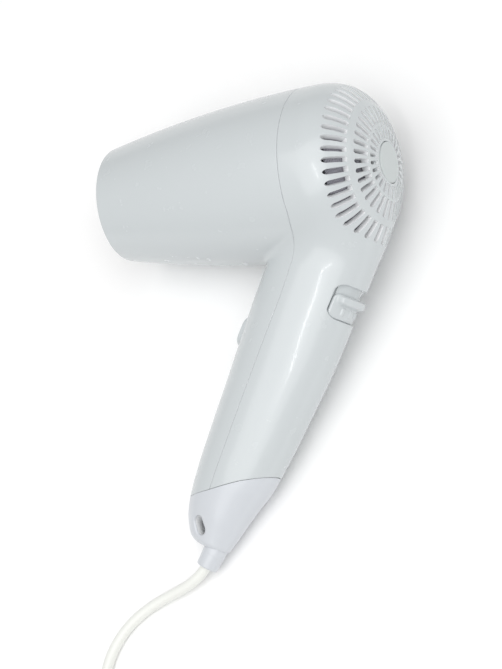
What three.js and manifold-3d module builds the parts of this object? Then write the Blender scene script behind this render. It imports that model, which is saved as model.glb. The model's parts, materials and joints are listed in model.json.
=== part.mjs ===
// Hair dryer, lying on its right side on a table, with its mains lead put away in a coil.
//
// Row frame (mm): +Z up from the table, the barrel points along -X, the handle lies towards -Y.
// The dryer is drawn upright in its own group first: +X runs aft along the barrel, +Y is up,
// +Z is the side that faces up on the table. The handle's parts sit in a leaned group inside it,
// where x runs aft, y runs up the handle and z is the same as the dryer's.
import * as THREE from 'three';
import { mergeVertices } from 'three/addons/utils/BufferGeometryUtils.js';
import Module from 'manifold-3d';

const wasm = await Module();
wasm.setup();

// ---------------------------------------------------------------- driving dimensions
const GAP = 0.3;                 // between parts that meet
const WALL = 2.4;                // moulded shell
const MOUTH_X = -114;            // front rim of the barrel
const MOUTH_R = 30.1;
const BULGE_X = 10;              // widest station of the barrel
const BULGE_R = 44.6;
const BARREL_POWER = 1.8;        // how the barrel narrows from the bulge to the mouth
const DOME_DEPTH = 31.3;         // bulge to the pole of the rear dome
const DOME_POWER = 2.35;         // superellipse of the rear dome
const RIM_ROUND = 1.2;           // the mouth's rim is broken by two small facets
const RIM_BREAK = 0.4;
const RIM_RUN = 2.1;
const BARREL_ROWS = 7;
const MOUTH_CUT = 2;             // the hollow runs this far past the mouth
const TURN_SIDES = 36;
const HANDLE_SIDES = 28;

const LEAN = THREE.MathUtils.degToRad(26);   // handle leans forward under the barrel
// handle and end cap: distance down the handle, centre, half depth, half width
const HANDLE_STATIONS = [
  [6, 23.6, 18, 14], [14, 23, 25, 18.5], [24, 22.7, 27.3, 20.2], [45, 22.7, 27.6, 20.5],
  [66, 22.6, 27.5, 20.4], [90, 23, 26.6, 20], [113, 22.8, 25, 19.2], [143, 22.1, 22.9, 17.6],
  [160, 21.3, 21.2, 16.5], [170, 20.2, 19.2, 15], [180, 19.8, 16.9, 12.8], [188, 20.4, 14.4, 10.3],
  [194, 21.8, 11.4, 8.4], [198, 24.4, 8, 7.4],
];
const CAVITY_END = 184;          // the cap is solid below this
const SEAM_X = 0.7;              // front and rear shells meet round the barrel here
const SEAM_OFFSET = 17.9;        // and on this line down the handle
const CAP_SEAM = [[-100, -162], [-78, -160.6], [-57.7, -158.5], [-40, -155.4], [-24, -153.6], [10, -151.5]];

const SLOT_RINGS = [             // outer radius, inner radius, slot width, count
  { outer: 41.8, inner: 33, width: 2.8, count: 44 },
  { outer: 29.4, inner: 20.3, width: 2.2, count: 36 },
  { outer: 18.8, inner: 12.4, width: 1.7, count: 28 },
];
const DOME_ROWS = [43.6, 42, 38.5, 32.7, 29.7, 25, 19.6, 12.1];   // the dome's facets part between the slot rings
const BADGE_R = 10.5;

const RECESS = { top: 47, bottom: 65, half: 14 };     // thumb switch window in the handle's back
const KNOB = { length: 12.4, half: 13.4, bar: 54.5, proud: 2.6, travel: 5 };
const BUTTON = { along: 88, length: 16.4, width: 11, proud: 1.5 };
const LOOP = { along: 187.2, offset: 15.2, reach: 3, radius: 3.6, tilt: THREE.MathUtils.degToRad(-26) };

const FAN = { hub: 12, tip: 33.4, front: 5, rear: 19, blades: 7 };
const SHROUD = { inner: 34.8, outer: 36.8, front: -30, rear: 22 };
const MOTOR = { radius: 14, front: -28, rear: 2 };
const HEATER = { front: -101, rear: -44, tube: 26, tubeWall: 0.7, coil: 20.2, wire: 0.7 };

const FLANGE = { front: -4, rear: -2, outer: 41.2, notch: 16 };    // on the shroud, notched for the wires
const FILTER = { inset: 3.3, thick: 1, radii: [4.8, 12.1, 19.6, 25, 29.7, 32.7, 38.5] };
const GRILLE = { front: -108, rear: -104, inner: 27.2, outer: 28.4, rings: [20.5, 13.5, 6.5], bar: 1.3, spokes: 4 };
const BOARD_THICK = 0.8;         // mica
const BOARD_WAIST = 18.4;
const BOARD_SLOT = 1.4;
const SEAT = { depth: 1.6, bore: 4, disc: 1.3, stub: 4.6 };        // of the plain disc in the rear grille

const SWITCH = { x: 34.9, along: 56, deep: 10.8, tall: 19, wide: 15, slot: 5.5 };
const MICRO = { x: 10.2, deep: 6.6, tall: 16, wide: 8 };
const CIRCUIT = { x: 26, along: 108, wide: 26, tall: 22, thick: 1.5, z: -4 };
const DIODE = { radius: 1.5, length: 6, first: 100.5, step: 4.6 };
const CLAMP = { x: 22.6, along: 166, z: 4.2, length: 19, width: 6, thick: 2 };
const SCREW = { head: 2.6, under: 2.2, tall: 1.8, z: 6.4, reach: 6.2 };
const WIRE_R = 1.1;

const CORD_R = 2.8;
const RELIEF = { start: 183, end: 206, offset: 27.1, radius: 6.1, lean: THREE.MathUtils.degToRad(6) };
// on the table, in the row frame: lead from the strain relief to the coil, the coil, lead to the plug
const LEAD_ROUTE = [
  [-21, -104.9, 11], [-24.1, -109.9, 10], [-28.8, -117.4, 8.4], [-33, -121.8, 7.4], [-38.8, -125.5, 6.1],
  [-46.4, -128.6, 4.8], [-55, -132, 3.9], [-64, -136.8, 3.3], [-73, -144, 3.1], [-80, -153.4, 3.1],
  [-84.3, -164.6, 3.2], [-86, -177, 3.5], [-86.2, -188, 3.9], [-86.2, -194.6, 3.9],
];
const COIL = { x: -48.9, y: -215, mid: 31.5, half: 8.4, low: 1, high: 16.6 };
const TAIL_ROUTE = [
  [-18.4, -246.6, 15.9], [-12, -243.7, 13], [-4, -239.6, 10], [3, -237.8, 8.9], [8, -237.6, 8.8], [17, -237.6, 8.8],
];
const TIE = { width: 8, thick: 0.6 };
const PLUG = { x: 22, y: -237.6, z: 8.8, length: 33, back: 20, front: 34, thick: 16, relief: 17 };
const PIN = { radius: 2.4, length: 19, span: 19 };

// how the dryer settles on the table
const ROLL = THREE.MathUtils.degToRad(9.3);
const PITCH = THREE.MathUtils.degToRad(-4);

// ---------------------------------------------------------------- materials
const finish = (color, roughness, metalness = 0) => new THREE.MeshStandardMaterial({ color, roughness, metalness });
const WHITE_ABS = finish('#e8edef', 0.28);
const GREY_ABS = finish('#cfd5d6', 0.4);
const BLACK_PLASTIC = finish('#2b2c2e', 0.5);
const FILTER_MESH = finish('#9c9aa3', 0.7);
const MICA = finish('#b9a27c', 0.6);
const HEAT_WIRE = finish('#8f8a86', 0.35, 1);
const STEEL = finish('#b9bcc0', 0.3, 1);
const BRASS = finish('#c9a75a', 0.35, 1);
const BOARD = finish('#6b5a34', 0.6);
const CREAM_PVC = finish('#eceee6', 0.45);
const WIRE_RED = finish('#8c3b2f', 0.5);
const WIRE_BLUE = finish('#35557e', 0.5);

// ---------------------------------------------------------------- solids
function toSolid(geometry) {
  const plain = geometry.clone();
  for (const name of Object.keys(plain.attributes)) if (name !== 'position') plain.deleteAttribute(name);
  const merged = mergeVertices(plain, 1e-4);
  const index = Uint32Array.from(merged.index.array);
  const vertices = Float32Array.from(merged.attributes.position.array);
  const solid = new wasm.Manifold(new wasm.Mesh({ numProp: 3, vertProperties: vertices, triVerts: index }));
  if (solid.volume() > 0) return solid;
  for (let i = 0; i < index.length; i += 3) [index[i], index[i + 1]] = [index[i + 1], index[i]];
  return new wasm.Manifold(new wasm.Mesh({ numProp: 3, vertProperties: vertices, triVerts: index }));
}

function toGeometry(solid) {
  const mesh = solid.getMesh();
  const geometry = new THREE.BufferGeometry();
  geometry.setAttribute('position', new THREE.BufferAttribute(Float32Array.from(mesh.vertProperties), 3));
  geometry.setIndex(new THREE.BufferAttribute(Uint32Array.from(mesh.triVerts), 1));
  return geometry;
}

const union = (solids) => solids.reduce((whole, solid) => whole.add(solid));

// profile points are [x along the barrel, radius]
function turned(profile, segments) {
  const points = profile.map(([x, r]) => new THREE.Vector2(r, x));
  return toSolid(new THREE.LatheGeometry(points, segments).rotateZ(-Math.PI / 2));
}

function ring(front, rear, inner, outer, segments) {
  return turned([[front, inner], [front, outer], [rear, outer], [rear, inner], [front, inner]], segments);
}

function disc(front, rear, radius, segments) {
  return turned([[front, 0], [front, radius], [rear, radius], [rear, 0]], segments);
}

function block(x, y, z, dx, dy, dz) {
  return toSolid(new THREE.BoxGeometry(dx, dy, dz).translate(x, y, z));
}

function plate(points, low, high) {
  const shape = new THREE.Shape(points.map(([x, y]) => new THREE.Vector2(x, y)));
  const geometry = new THREE.ExtrudeGeometry(shape, { depth: high - low, bevelEnabled: false });
  return toSolid(geometry.translate(0, 0, low));
}

// round-ended slab, long way along y, extruded along z
function capsule(length, width, depth) {
  const r = width / 2;
  const reach = length / 2 - r;
  const shape = new THREE.Shape();
  shape.absarc(0, reach, r, 0, Math.PI, false);
  shape.absarc(0, -reach, r, Math.PI, 2 * Math.PI, false);
  return new THREE.ExtrudeGeometry(shape, { depth, bevelEnabled: false, curveSegments: 6 });
}

function roundBar(radius, points, steps, sides = 8) {
  const path = points.length === 2
    ? new THREE.LineCurve3(new THREE.Vector3(...points[0]), new THREE.Vector3(...points[1]))
    : new THREE.CatmullRomCurve3(points.map((p) => new THREE.Vector3(...p)), false, 'centripetal');
  const section = new THREE.Shape();
  for (let i = 0; i < sides; i += 1) {
    const a = (i / sides) * 2 * Math.PI;
    if (i === 0) section.moveTo(radius * Math.cos(a), radius * Math.sin(a));
    else section.lineTo(radius * Math.cos(a), radius * Math.sin(a));
  }
  section.closePath();
  return new THREE.ExtrudeGeometry(section, { extrudePath: path, steps, bevelEnabled: false });
}

// ---------------------------------------------------------------- outer form
function barrelRadius(x) {
  return BULGE_R - (BULGE_R - MOUTH_R) * ((BULGE_X - x) / (BULGE_X - MOUTH_X)) ** BARREL_POWER;
}

function domeX(r, inset) {
  const fall = (r / (BULGE_R - inset)) ** DOME_POWER;
  return BULGE_X + (DOME_DEPTH - inset) * (1 - fall) ** (1 / DOME_POWER);
}

function barrelProfile(inset) {
  const mouth = inset
    ? [[MOUTH_X - MOUTH_CUT, 0], [MOUTH_X - MOUTH_CUT, MOUTH_R - inset], [MOUTH_X, MOUTH_R - inset]]
    : [[MOUTH_X, 0], [MOUTH_X, MOUTH_R - RIM_ROUND], [MOUTH_X + RIM_BREAK, MOUTH_R - RIM_BREAK],
      [MOUTH_X + RIM_RUN, barrelRadius(MOUTH_X + RIM_RUN)]];
  const profile = [...mouth];
  for (let i = 1; i <= BARREL_ROWS; i += 1) {
    const x = MOUTH_X + ((BULGE_X - MOUTH_X) * i) / BARREL_ROWS;
    profile.push([x, barrelRadius(x) - inset]);
  }
  for (const r of DOME_ROWS.filter((row) => row < BULGE_R - inset)) profile.push([domeX(r, inset), r]);
  profile.push([BULGE_X + DOME_DEPTH - inset, 0]);
  return profile;
}

// closed skin through elliptical sections, in the leaned handle frame
function handleForm(inset, end) {
  const sides = HANDLE_SIDES;
  const rows = HANDLE_STATIONS.filter(([along]) => along <= end);
  const positions = [];
  for (const [along, centre, deep, wide] of rows) {
    for (let i = 0; i < sides; i += 1) {
      const a = (i / sides) * 2 * Math.PI;
      positions.push(centre + (deep - inset) * Math.cos(a), -along, (wide - inset) * Math.sin(a));
    }
  }
  const first = positions.length / 3;
  positions.push(rows[0][1], -rows[0][0], 0, rows.at(-1)[1], -rows.at(-1)[0], 0);
  const index = [];
  for (let row = 0; row < rows.length - 1; row += 1) {
    for (let i = 0; i < sides; i += 1) {
      const a = row * sides + i;
      const b = row * sides + ((i + 1) % sides);
      index.push(a, b, a + sides, b, b + sides, a + sides);
    }
  }
  for (let i = 0; i < sides; i += 1) {
    const next = (i + 1) % sides;
    const last = (rows.length - 1) * sides;
    index.push(first, next, i, first + 1, last + i, last + next);
  }
  const geometry = new THREE.BufferGeometry();
  geometry.setAttribute('position', new THREE.BufferAttribute(new Float32Array(positions), 3));
  geometry.setIndex(index);
  return toSolid(geometry);
}

// handle frame <-> dryer frame
const LEAN_DEG = [0, 0, -THREE.MathUtils.radToDeg(LEAN)];
const toDryer = (solid) => solid.rotate(LEAN_DEG);
function dryerPoint(offset, along) {
  const c = Math.cos(LEAN);
  const s = Math.sin(LEAN);
  return [c * offset - s * along, -s * offset - c * along];
}

const SHELL_HALF = 60;
const outerForm = turned(barrelProfile(0), TURN_SIDES).add(toDryer(handleForm(0, Infinity)));
const innerForm = turned(barrelProfile(WALL), TURN_SIDES).add(toDryer(handleForm(WALL, CAVITY_END)));
const skin = outerForm.subtract(innerForm);

// line where the front and rear shells part, shifted by half the gap towards one of them
function seamLine(shift) {
  const shoulder = dryerPoint(SEAM_OFFSET + shift, 54);
  return [
    [SEAM_X + shift, SHELL_HALF], [SEAM_X + shift, -31], [SEAM_X + shift - 1.8, -36],
    [SEAM_X + shift - 4.2, -45.5], [(shoulder[0] + SEAM_X + shift - 5) / 2, (shoulder[1] - 47) / 2],
    dryerPoint(SEAM_OFFSET + shift, 62), dryerPoint(SEAM_OFFSET + shift, 185),
  ];
}

const capLine = (shift) => CAP_SEAM.map(([x, y]) => [x, y + shift]);

function aboveCap(shift) {
  const line = capLine(shift);
  return plate([...line, [80, line.at(-1)[1]], [80, 80], [-140, 80], [-140, line[0][1]]], -SHELL_HALF, SHELL_HALF);
}

function ahead(shift) {
  return plate([...seamLine(shift), [-140, -220], [-140, SHELL_HALF]], -SHELL_HALF, SHELL_HALF);
}

// ---------------------------------------------------------------- shells
function buttonHole() {
  const hole = toSolid(capsule(BUTTON.length + 2 * GAP, BUTTON.width + 2 * GAP, 20).rotateY(-Math.PI / 2));
  return toDryer(hole.translate([8, -BUTTON.along, 0]));
}

function frontShell() {
  return skin.intersect(ahead(-GAP / 2)).intersect(aboveCap(GAP / 2)).subtract(buttonHole());
}

function grilleSlots() {
  const cutters = [];
  for (const { outer, inner, width, count } of SLOT_RINGS) {
    const length = outer - inner;
    for (let i = 0; i < count; i += 1) {
      const cutter = block(BULGE_X + DOME_DEPTH - 12, (outer + inner) / 2, 0, 36, length, width);
      cutters.push(cutter.rotate([(i / count) * 360, 0, 0]));
    }
  }
  return wasm.Manifold.union(cutters);
}

function switchWindow() {
  const middle = (RECESS.top + RECESS.bottom) / 2;
  const size = RECESS.bottom - RECESS.top;
  return toDryer(block(45, -middle, 0, 30, size, 2 * RECESS.half));
}

const badgeSeat = () => disc(BULGE_X + DOME_DEPTH - SEAT.depth, BULGE_X + DOME_DEPTH + 4, BADGE_R + GAP, 32);
const badgeBore = () => disc(BULGE_X, BULGE_X + DOME_DEPTH, SEAT.bore + GAP, 16);

function rearShell() {
  const whole = skin.subtract(ahead(GAP / 2)).intersect(aboveCap(GAP / 2));
  return whole.subtract(grilleSlots()).subtract(switchWindow()).subtract(badgeSeat()).subtract(badgeBore());
}

function grilleBadge() {
  const back = BULGE_X + DOME_DEPTH;
  const face = disc(back - SEAT.disc, back, BADGE_R, 32);
  return face.add(disc(back - SEAT.stub, back - 1, SEAT.bore, 16));
}

function loopHole() {
  const hole = toSolid(capsule(2 * (LOOP.reach + LOOP.radius), 2 * LOOP.radius, 60).translate(0, 0, -30));
  const turn = THREE.MathUtils.radToDeg(LOOP.tilt);
  return toDryer(hole.rotate([0, 0, -turn]).translate([LOOP.offset, -LOOP.along, 0]));
}

// pieces on the relief's axis, which leans a little further forward than the handle
function alongRelief(solid) {
  const turn = -THREE.MathUtils.radToDeg(RELIEF.lean);
  return toDryer(solid.rotate([0, 0, turn]).translate([RELIEF.offset, -RELIEF.start, 0]));
}

// a round solid on the handle's axis from one distance to another
function pillar(from, to, radius, sides) {
  const bar = new THREE.CylinderGeometry(radius, radius, to - from, sides);
  return toSolid(bar.translate(0, -(from + to) / 2, 0));
}

function endCap() {
  const bore = alongRelief(pillar(-10, 40, RELIEF.radius + GAP, 24));
  return skin.subtract(aboveCap(-GAP / 2)).subtract(loopHole()).subtract(bore);
}

// ---------------------------------------------------------------- air path
function lintFilter() {
  const { inset, thick, radii } = FILTER;
  const outer = radii.map((r) => [domeX(r, inset), r]);
  const inner = radii.map((r) => [domeX(r, inset + thick), r]).reverse();
  return turned([...outer, ...inner, outer[0]], 28);
}

function blades(count, inner, outer, chord, thick, pitch, x) {
  const all = [];
  for (let i = 0; i < count; i += 1) {
    const blade = new THREE.BoxGeometry(chord, outer - inner, thick).rotateY(pitch);
    all.push(toSolid(blade.translate(x, (inner + outer) / 2, 0)).rotate([(i / count) * 360, 0, 0]));
  }
  return union(all);
}

function fan() {
  const hub = turned([
    [FAN.front, 1.5], [FAN.front, FAN.hub], [FAN.rear - 3, FAN.hub], [FAN.rear, FAN.hub - 4],
    [FAN.rear, 1.5], [FAN.front, 1.5],
  ], 28);
  const middle = (FAN.front + FAN.rear) / 2;
  return hub.add(blades(FAN.blades, FAN.hub - 1, FAN.tip, 14, 1.4, 0.7, middle));
}

function shroud() {
  const duct = ring(SHROUD.front, SHROUD.rear, SHROUD.inner, SHROUD.outer, 30);
  const notch = block(FLANGE.front + 1, -FLANGE.outer - 1.8, 0, 8, 10, FLANGE.notch);
  const flange = ring(FLANGE.front, FLANGE.rear, SHROUD.inner + 1, FLANGE.outer, 30).subtract(notch);
  const holder = ring(MOTOR.front + 2, -6, MOTOR.radius + GAP, MOTOR.radius + 2.2, 28);
  const vanes = blades(6, MOTOR.radius + 1.4, SHROUD.inner + 0.8, 14, 1.3, -0.45, -16);
  return union([duct, flange, holder, vanes]);
}

function motorCan() {
  const { radius, front, rear } = MOTOR;
  return turned([
    [front, 1.6], [front, radius], [rear - 1.8, radius], [rear - 1.8, radius - 1],
    [front + 1.2, radius - 1], [front + 1.2, 1.6], [front, 1.6],
  ], 28);
}

function motorEnd() {
  const { radius, rear } = MOTOR;
  return turned([
    [rear - 1.5, 1.6], [rear - 1.5, radius], [rear, radius - 0.6], [rear, 5], [rear + 1.8, 5],
    [rear + 1.8, 1.6], [rear - 1.5, 1.6],
  ], 28);
}

const motorRotor = () => ring(-22, -6, 1.5, MOTOR.radius - 3.4, 24);
const motorShaft = () => disc(MOTOR.front - 3, FAN.rear - 2, 1.2, 12);

function outletGrille() {
  const { front, rear, inner, outer, rings, bar, spokes } = GRILLE;
  const pieces = [ring(front, rear, inner, outer, 32)];
  for (const r of rings) pieces.push(ring(front + 0.8, rear - 1, r - bar / 2, r + bar / 2, 20));
  for (let i = 0; i < spokes; i += 1) {
    pieces.push(block((front + rear) / 2, 0, 0, 2, 2 * inner + 0.6, bar).rotate([(i / spokes) * 180, 0, 0]));
  }
  return union(pieces);
}

const heatShield = () => ring(HEATER.front - 3, HEATER.rear + 3, HEATER.tube, HEATER.tube + HEATER.tubeWall, 36);

function shieldRing() {
  const collar = ring(HEATER.rear, HEATER.rear + 2, HEATER.tube + HEATER.tubeWall + GAP, 38.2, 36);
  return collar.subtract(block(HEATER.rear, -36, 0, 8, 12, 14));
}

// one of the two crossed heater boards; its slot is open at the front or at the rear
function micaBoard(slotAtFront) {
  const { front, rear, tube } = HEATER;
  const tab = tube - 0.5;
  const waist = BOARD_WAIST;
  const half = [[front, tab], [front + 5, tab], [front + 7, waist], [rear - 7, waist], [rear - 5, tab], [rear, tab]];
  const outline = [...half, ...half.map(([x, y]) => [x, -y]).reverse()];
  const board = plate(outline, -BOARD_THICK / 2, BOARD_THICK / 2);
  const middle = (front + rear) / 2;
  const slotX = slotAtFront ? (front + middle) / 2 - 2 : (rear + middle) / 2 + 2;
  return board.subtract(block(slotX, 0, 0, (rear - front) / 2 + 5, BOARD_SLOT, 4));
}

function heaterCoil(from, to, turns) {
  const points = [];
  const perTurn = 14;
  for (let i = 0; i <= turns * perTurn; i += 1) {
    const a = (i / perTurn) * 2 * Math.PI;
    const x = from + ((to - from) * i) / (turns * perTurn);
    points.push([x, HEATER.coil * Math.cos(a), HEATER.coil * Math.sin(a)]);
  }
  return roundBar(HEATER.wire, points, turns * perTurn, 5);
}

// ---------------------------------------------------------------- switches, in the handle frame
// slab that follows the handle's back between two depths below its surface
function backSlab(top, bottom, half, low, high) {
  const [, centre, deep, wide] = HANDLE_STATIONS[3];
  const shell = (inset) => {
    const shape = new THREE.Shape().absellipse(centre, 0, deep - inset, wide - inset, 0, 2 * Math.PI);
    const geometry = new THREE.ExtrudeGeometry(shape, { depth: bottom - top, bevelEnabled: false, curveSegments: 32 });
    return toSolid(geometry.rotateX(Math.PI / 2).translate(0, -top, 0));
  };
  const window = block(centre + 20, -(top + bottom) / 2, 0, 28, bottom - top + 4, 2 * half);
  return shell(low).subtract(shell(high)).intersect(window);
}

function knob() {
  const bottom = RECESS.bottom - GAP;
  const face = backSlab(bottom - KNOB.length, bottom, KNOB.half, 1.2, 3.3);
  const bar = backSlab(KNOB.bar - 2, KNOB.bar + 2, 11.5, -KNOB.proud, 2);
  const stem = block(43.4, -58, 0, 8.8, 3, 4);
  return union([face, bar, stem]);
}

function switchPlate() {
  const plateSlab = backSlab(RECESS.top - 3, RECESS.bottom + 3, RECESS.half + 0.6, 3.7, 5.2);
  return plateSlab.subtract(block(45, -SWITCH.along, 0, 20, 12, SWITCH.slot));
}

function switchBody() {
  const { x, along, deep, tall, wide, slot } = SWITCH;
  return block(x, -along, 0, deep, tall, wide).subtract(block(x + 4.1, -along, 0, 6, 11, slot));
}

function pushButton() {
  const face = -4.2 - BUTTON.proud;
  const cap = toSolid(capsule(BUTTON.length, BUTTON.width, 8).rotateY(-Math.PI / 2).translate(face + 8, 0, 0));
  const flange = toSolid(capsule(BUTTON.length + 5, BUTTON.width + 3, 1.4).rotateY(-Math.PI / 2).translate(3.1, 0, 0));
  return cap.add(flange).translate([0, -BUTTON.along, 0]);
}

function microSwitch() {
  const plunger = block(6.4, -BUTTON.along, 0, 1.6, 3, 3);
  return block(MICRO.x, -BUTTON.along, 0, MICRO.deep, MICRO.tall, MICRO.wide).add(plunger);
}

// ---------------------------------------------------------------- wiring and fixing, handle frame
function circuitBoard() {
  const { x, along, wide, tall, thick, z } = CIRCUIT;
  return block(x, -along, z, wide, tall, thick);
}

function diode(i) {
  const geometry = new THREE.CylinderGeometry(DIODE.radius, DIODE.radius, DIODE.length, 10).rotateZ(Math.PI / 2);
  return toSolid(geometry.translate(CIRCUIT.x - 6, -DIODE.first - DIODE.step * i, CIRCUIT.z + 2.6));
}

const capacitor = () => block(CIRCUIT.x + 6, -CIRCUIT.along + 0.5, CIRCUIT.z + 4.8, 8, 15, 7);

function cordClamp() {
  const { x, along, z, length, width, thick } = CLAMP;
  return block(x, -along, z, length, width, thick);
}

function clampScrew(side) {
  const head = new THREE.CylinderGeometry(SCREW.head, SCREW.under, SCREW.tall, 14).rotateX(Math.PI / 2);
  return toSolid(head.translate(CLAMP.x + side * SCREW.reach, -CLAMP.along, SCREW.z));
}

// tail of the mains lead between the strain relief and the clamp
const cordTail = () => roundBar(CORD_R, [[22.4, -156, 0], [22.8, -166, 0], [25, -175, 0], [27.1, -183, 0],
  [26.7, -187, 0]], 12, 10);

function strainRelief() {
  const length = RELIEF.end - RELIEF.start;
  const sleeve = toSolid(new THREE.CylinderGeometry(RELIEF.radius, RELIEF.radius - 0.5, length, 24)
    .translate(0, -length / 2, 0));
  return alongRelief(sleeve.subtract(pillar(-5, 60, CORD_R + GAP, 16)));
}

// ---------------------------------------------------------------- lead, on the table
function leadCoil() {
  const { mid, half, low, high } = COIL;
  const profile = [[mid - half, low], [mid + half, low], [mid + half, high], [mid - half, high], [mid - half, low]];
  const geometry = new THREE.LatheGeometry(profile.map(([r, z]) => new THREE.Vector2(r, z)), 48);
  return toSolid(geometry.rotateX(Math.PI / 2)).translate([COIL.x, COIL.y, 0]);
}

// strap round the coil's section, on the side away from the lead
function coilTie() {
  const clear = 0.6;
  const depth = 2 * (COIL.half + clear);
  const tall = COIL.high - COIL.low + 2 * GAP;
  const z = (COIL.low + COIL.high) / 2;
  const band = block(COIL.x + COIL.mid, COIL.y, z, depth + 2 * TIE.thick, TIE.width, tall + 2 * TIE.thick);
  return band.subtract(block(COIL.x + COIL.mid, COIL.y, z, depth, TIE.width + 4, tall));
}

function plugBody() {
  const { x, y, z, length, back, front, thick, relief } = PLUG;
  const shape = new THREE.Shape();
  shape.moveTo(0, -back / 2);
  shape.bezierCurveTo(length * 0.45, -back / 2, length * 0.4, -front / 2, length, -front / 2);
  shape.lineTo(length, front / 2);
  shape.bezierCurveTo(length * 0.4, front / 2, length * 0.45, back / 2, 0, back / 2);
  shape.closePath();
  const rounding = { bevelEnabled: true, bevelThickness: 2.5, bevelSize: 2, bevelOffset: -2, bevelSegments: 2 };
  const slab = new THREE.ExtrudeGeometry(shape, { depth: thick - 5, curveSegments: 8, ...rounding });
  const body = toSolid(slab.translate(x, y, z - thick / 2 + 2.5));
  const cone = new THREE.CylinderGeometry(6.4, 4.2, relief, 20).rotateZ(-Math.PI / 2).translate(x - relief / 2 + 1, y, z);
  const bore = toSolid(new THREE.CylinderGeometry(CORD_R + GAP, CORD_R + GAP, 30, 16).rotateZ(Math.PI / 2)
    .translate(x - relief + 3, y, z));
  return body.add(toSolid(cone)).subtract(bore);
}

function plugPin(side) {
  const pin = new THREE.CylinderGeometry(PIN.radius, PIN.radius, PIN.length, 16).rotateZ(Math.PI / 2);
  return pin.translate(PLUG.x + PLUG.length + GAP + PIN.length / 2, PLUG.y + (side * PIN.span) / 2, PLUG.z);
}

// ---------------------------------------------------------------- assembly
const dryer = new THREE.Group();
const handle = new THREE.Group();
handle.rotation.z = -LEAN;
dryer.add(handle);

function add(parent, name, shape, material) {
  const geometry = shape instanceof THREE.BufferGeometry ? shape : toGeometry(shape);
  geometry.computeVertexNormals();
  const mesh = new THREE.Mesh(geometry, material);
  mesh.name = name;
  parent.add(mesh);
}

add(dryer, 'front_shell', frontShell(), WHITE_ABS);
add(dryer, 'rear_shell', rearShell(), WHITE_ABS);
add(dryer, 'end_cap', endCap(), WHITE_ABS);
add(dryer, 'grille_badge', grilleBadge(), GREY_ABS);
add(dryer, 'lint_filter', lintFilter(), FILTER_MESH);
add(dryer, 'fan', fan(), GREY_ABS);
add(dryer, 'motor_shaft', motorShaft(), STEEL);
add(dryer, 'motor_rotor', motorRotor(), HEAT_WIRE);
add(dryer, 'motor_can', motorCan(), STEEL);
add(dryer, 'motor_end', motorEnd(), BLACK_PLASTIC);
add(dryer, 'fan_shroud', shroud(), BLACK_PLASTIC);
add(dryer, 'outlet_grille', outletGrille(), BLACK_PLASTIC);
add(dryer, 'heat_shield', heatShield(), MICA);
add(dryer, 'shield_ring', shieldRing(), BLACK_PLASTIC);
add(dryer, 'heater_board_flat', micaBoard(true), MICA);
add(dryer, 'heater_board_cross', micaBoard(false).rotate([90, 0, 0]), MICA);
add(dryer, 'heater_coil_low', heaterCoil(-92, -75, 5), HEAT_WIRE);
add(dryer, 'heater_coil_high', heaterCoil(-71, -53, 6), HEAT_WIRE);
add(dryer, 'thermostat', block(-84, 9, 3.2, 12, 8, 5), GREY_ABS);
add(dryer, 'thermal_fuse', toSolid(new THREE.CylinderGeometry(1.7, 1.7, 10, 12).rotateZ(Math.PI / 2)
  .translate(-62, -9, 2.4)), STEEL);

add(handle, 'slide_knob', knob(), WHITE_ABS);
add(handle, 'switch_plate', switchPlate(), WHITE_ABS);
add(handle, 'switch_body', switchBody(), BLACK_PLASTIC);
add(handle, 'push_button', pushButton(), WHITE_ABS);
add(handle, 'micro_switch', microSwitch(), BLACK_PLASTIC);
add(handle, 'circuit_board', circuitBoard(), BOARD);
add(handle, 'capacitor', capacitor(), WIRE_BLUE);
for (let i = 0; i < 3; i += 1) add(handle, `diode_${i + 1}`, diode(i), BLACK_PLASTIC);
add(handle, 'wire_live', roundBar(WIRE_R, [[20.8, -155, 0], [14, -142, 5], [12, -115, 8], [15, -92, 7],
  [18, -72, 6], [26, -66.8, 4]], 20), WIRE_RED);
add(handle, 'wire_neutral', roundBar(WIRE_R, [[24.2, -155, 0], [33, -143, 2], [41, -126, 2], [42, -100, 3],
  [40, -80, 3], [36, -67, 3]], 20), WIRE_BLUE);
add(handle, 'cord_tail', cordTail(), CREAM_PVC);
add(handle, 'cord_clamp', cordClamp(), GREY_ABS);
add(handle, 'clamp_screw_left', clampScrew(-1), STEEL);
add(handle, 'clamp_screw_right', clampScrew(1), STEEL);
add(dryer, 'strain_relief', strainRelief(), WHITE_ABS);

dryer.rotation.set(ROLL, PITCH, 0, 'YXZ');

const object = new THREE.Group();
object.add(dryer);
object.updateMatrixWorld(true);
const box = new THREE.Box3().setFromObject(dryer, true);
dryer.position.set(-(box.min.x + box.max.x) / 2, -(box.min.y + box.max.y) / 2, -box.min.z);

add(object, 'cord_lead', roundBar(CORD_R, LEAD_ROUTE, 26, 10), CREAM_PVC);
add(object, 'cord_coil', leadCoil(), CREAM_PVC);
add(object, 'cord_end', roundBar(CORD_R, TAIL_ROUTE, 10, 10), CREAM_PVC);
add(object, 'coil_tie', coilTie(), CREAM_PVC);
add(object, 'plug_body', plugBody(), CREAM_PVC);
add(object, 'plug_pin_left', plugPin(1), BRASS);
add(object, 'plug_pin_right', plugPin(-1), BRASS);

export default object;
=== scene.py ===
"""Looks of the hair dryer: moulded shells, grille, switches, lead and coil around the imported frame."""

import json
import math

import bmesh
import bpy
import numpy as np
from mathutils import Matrix, Vector


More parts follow.
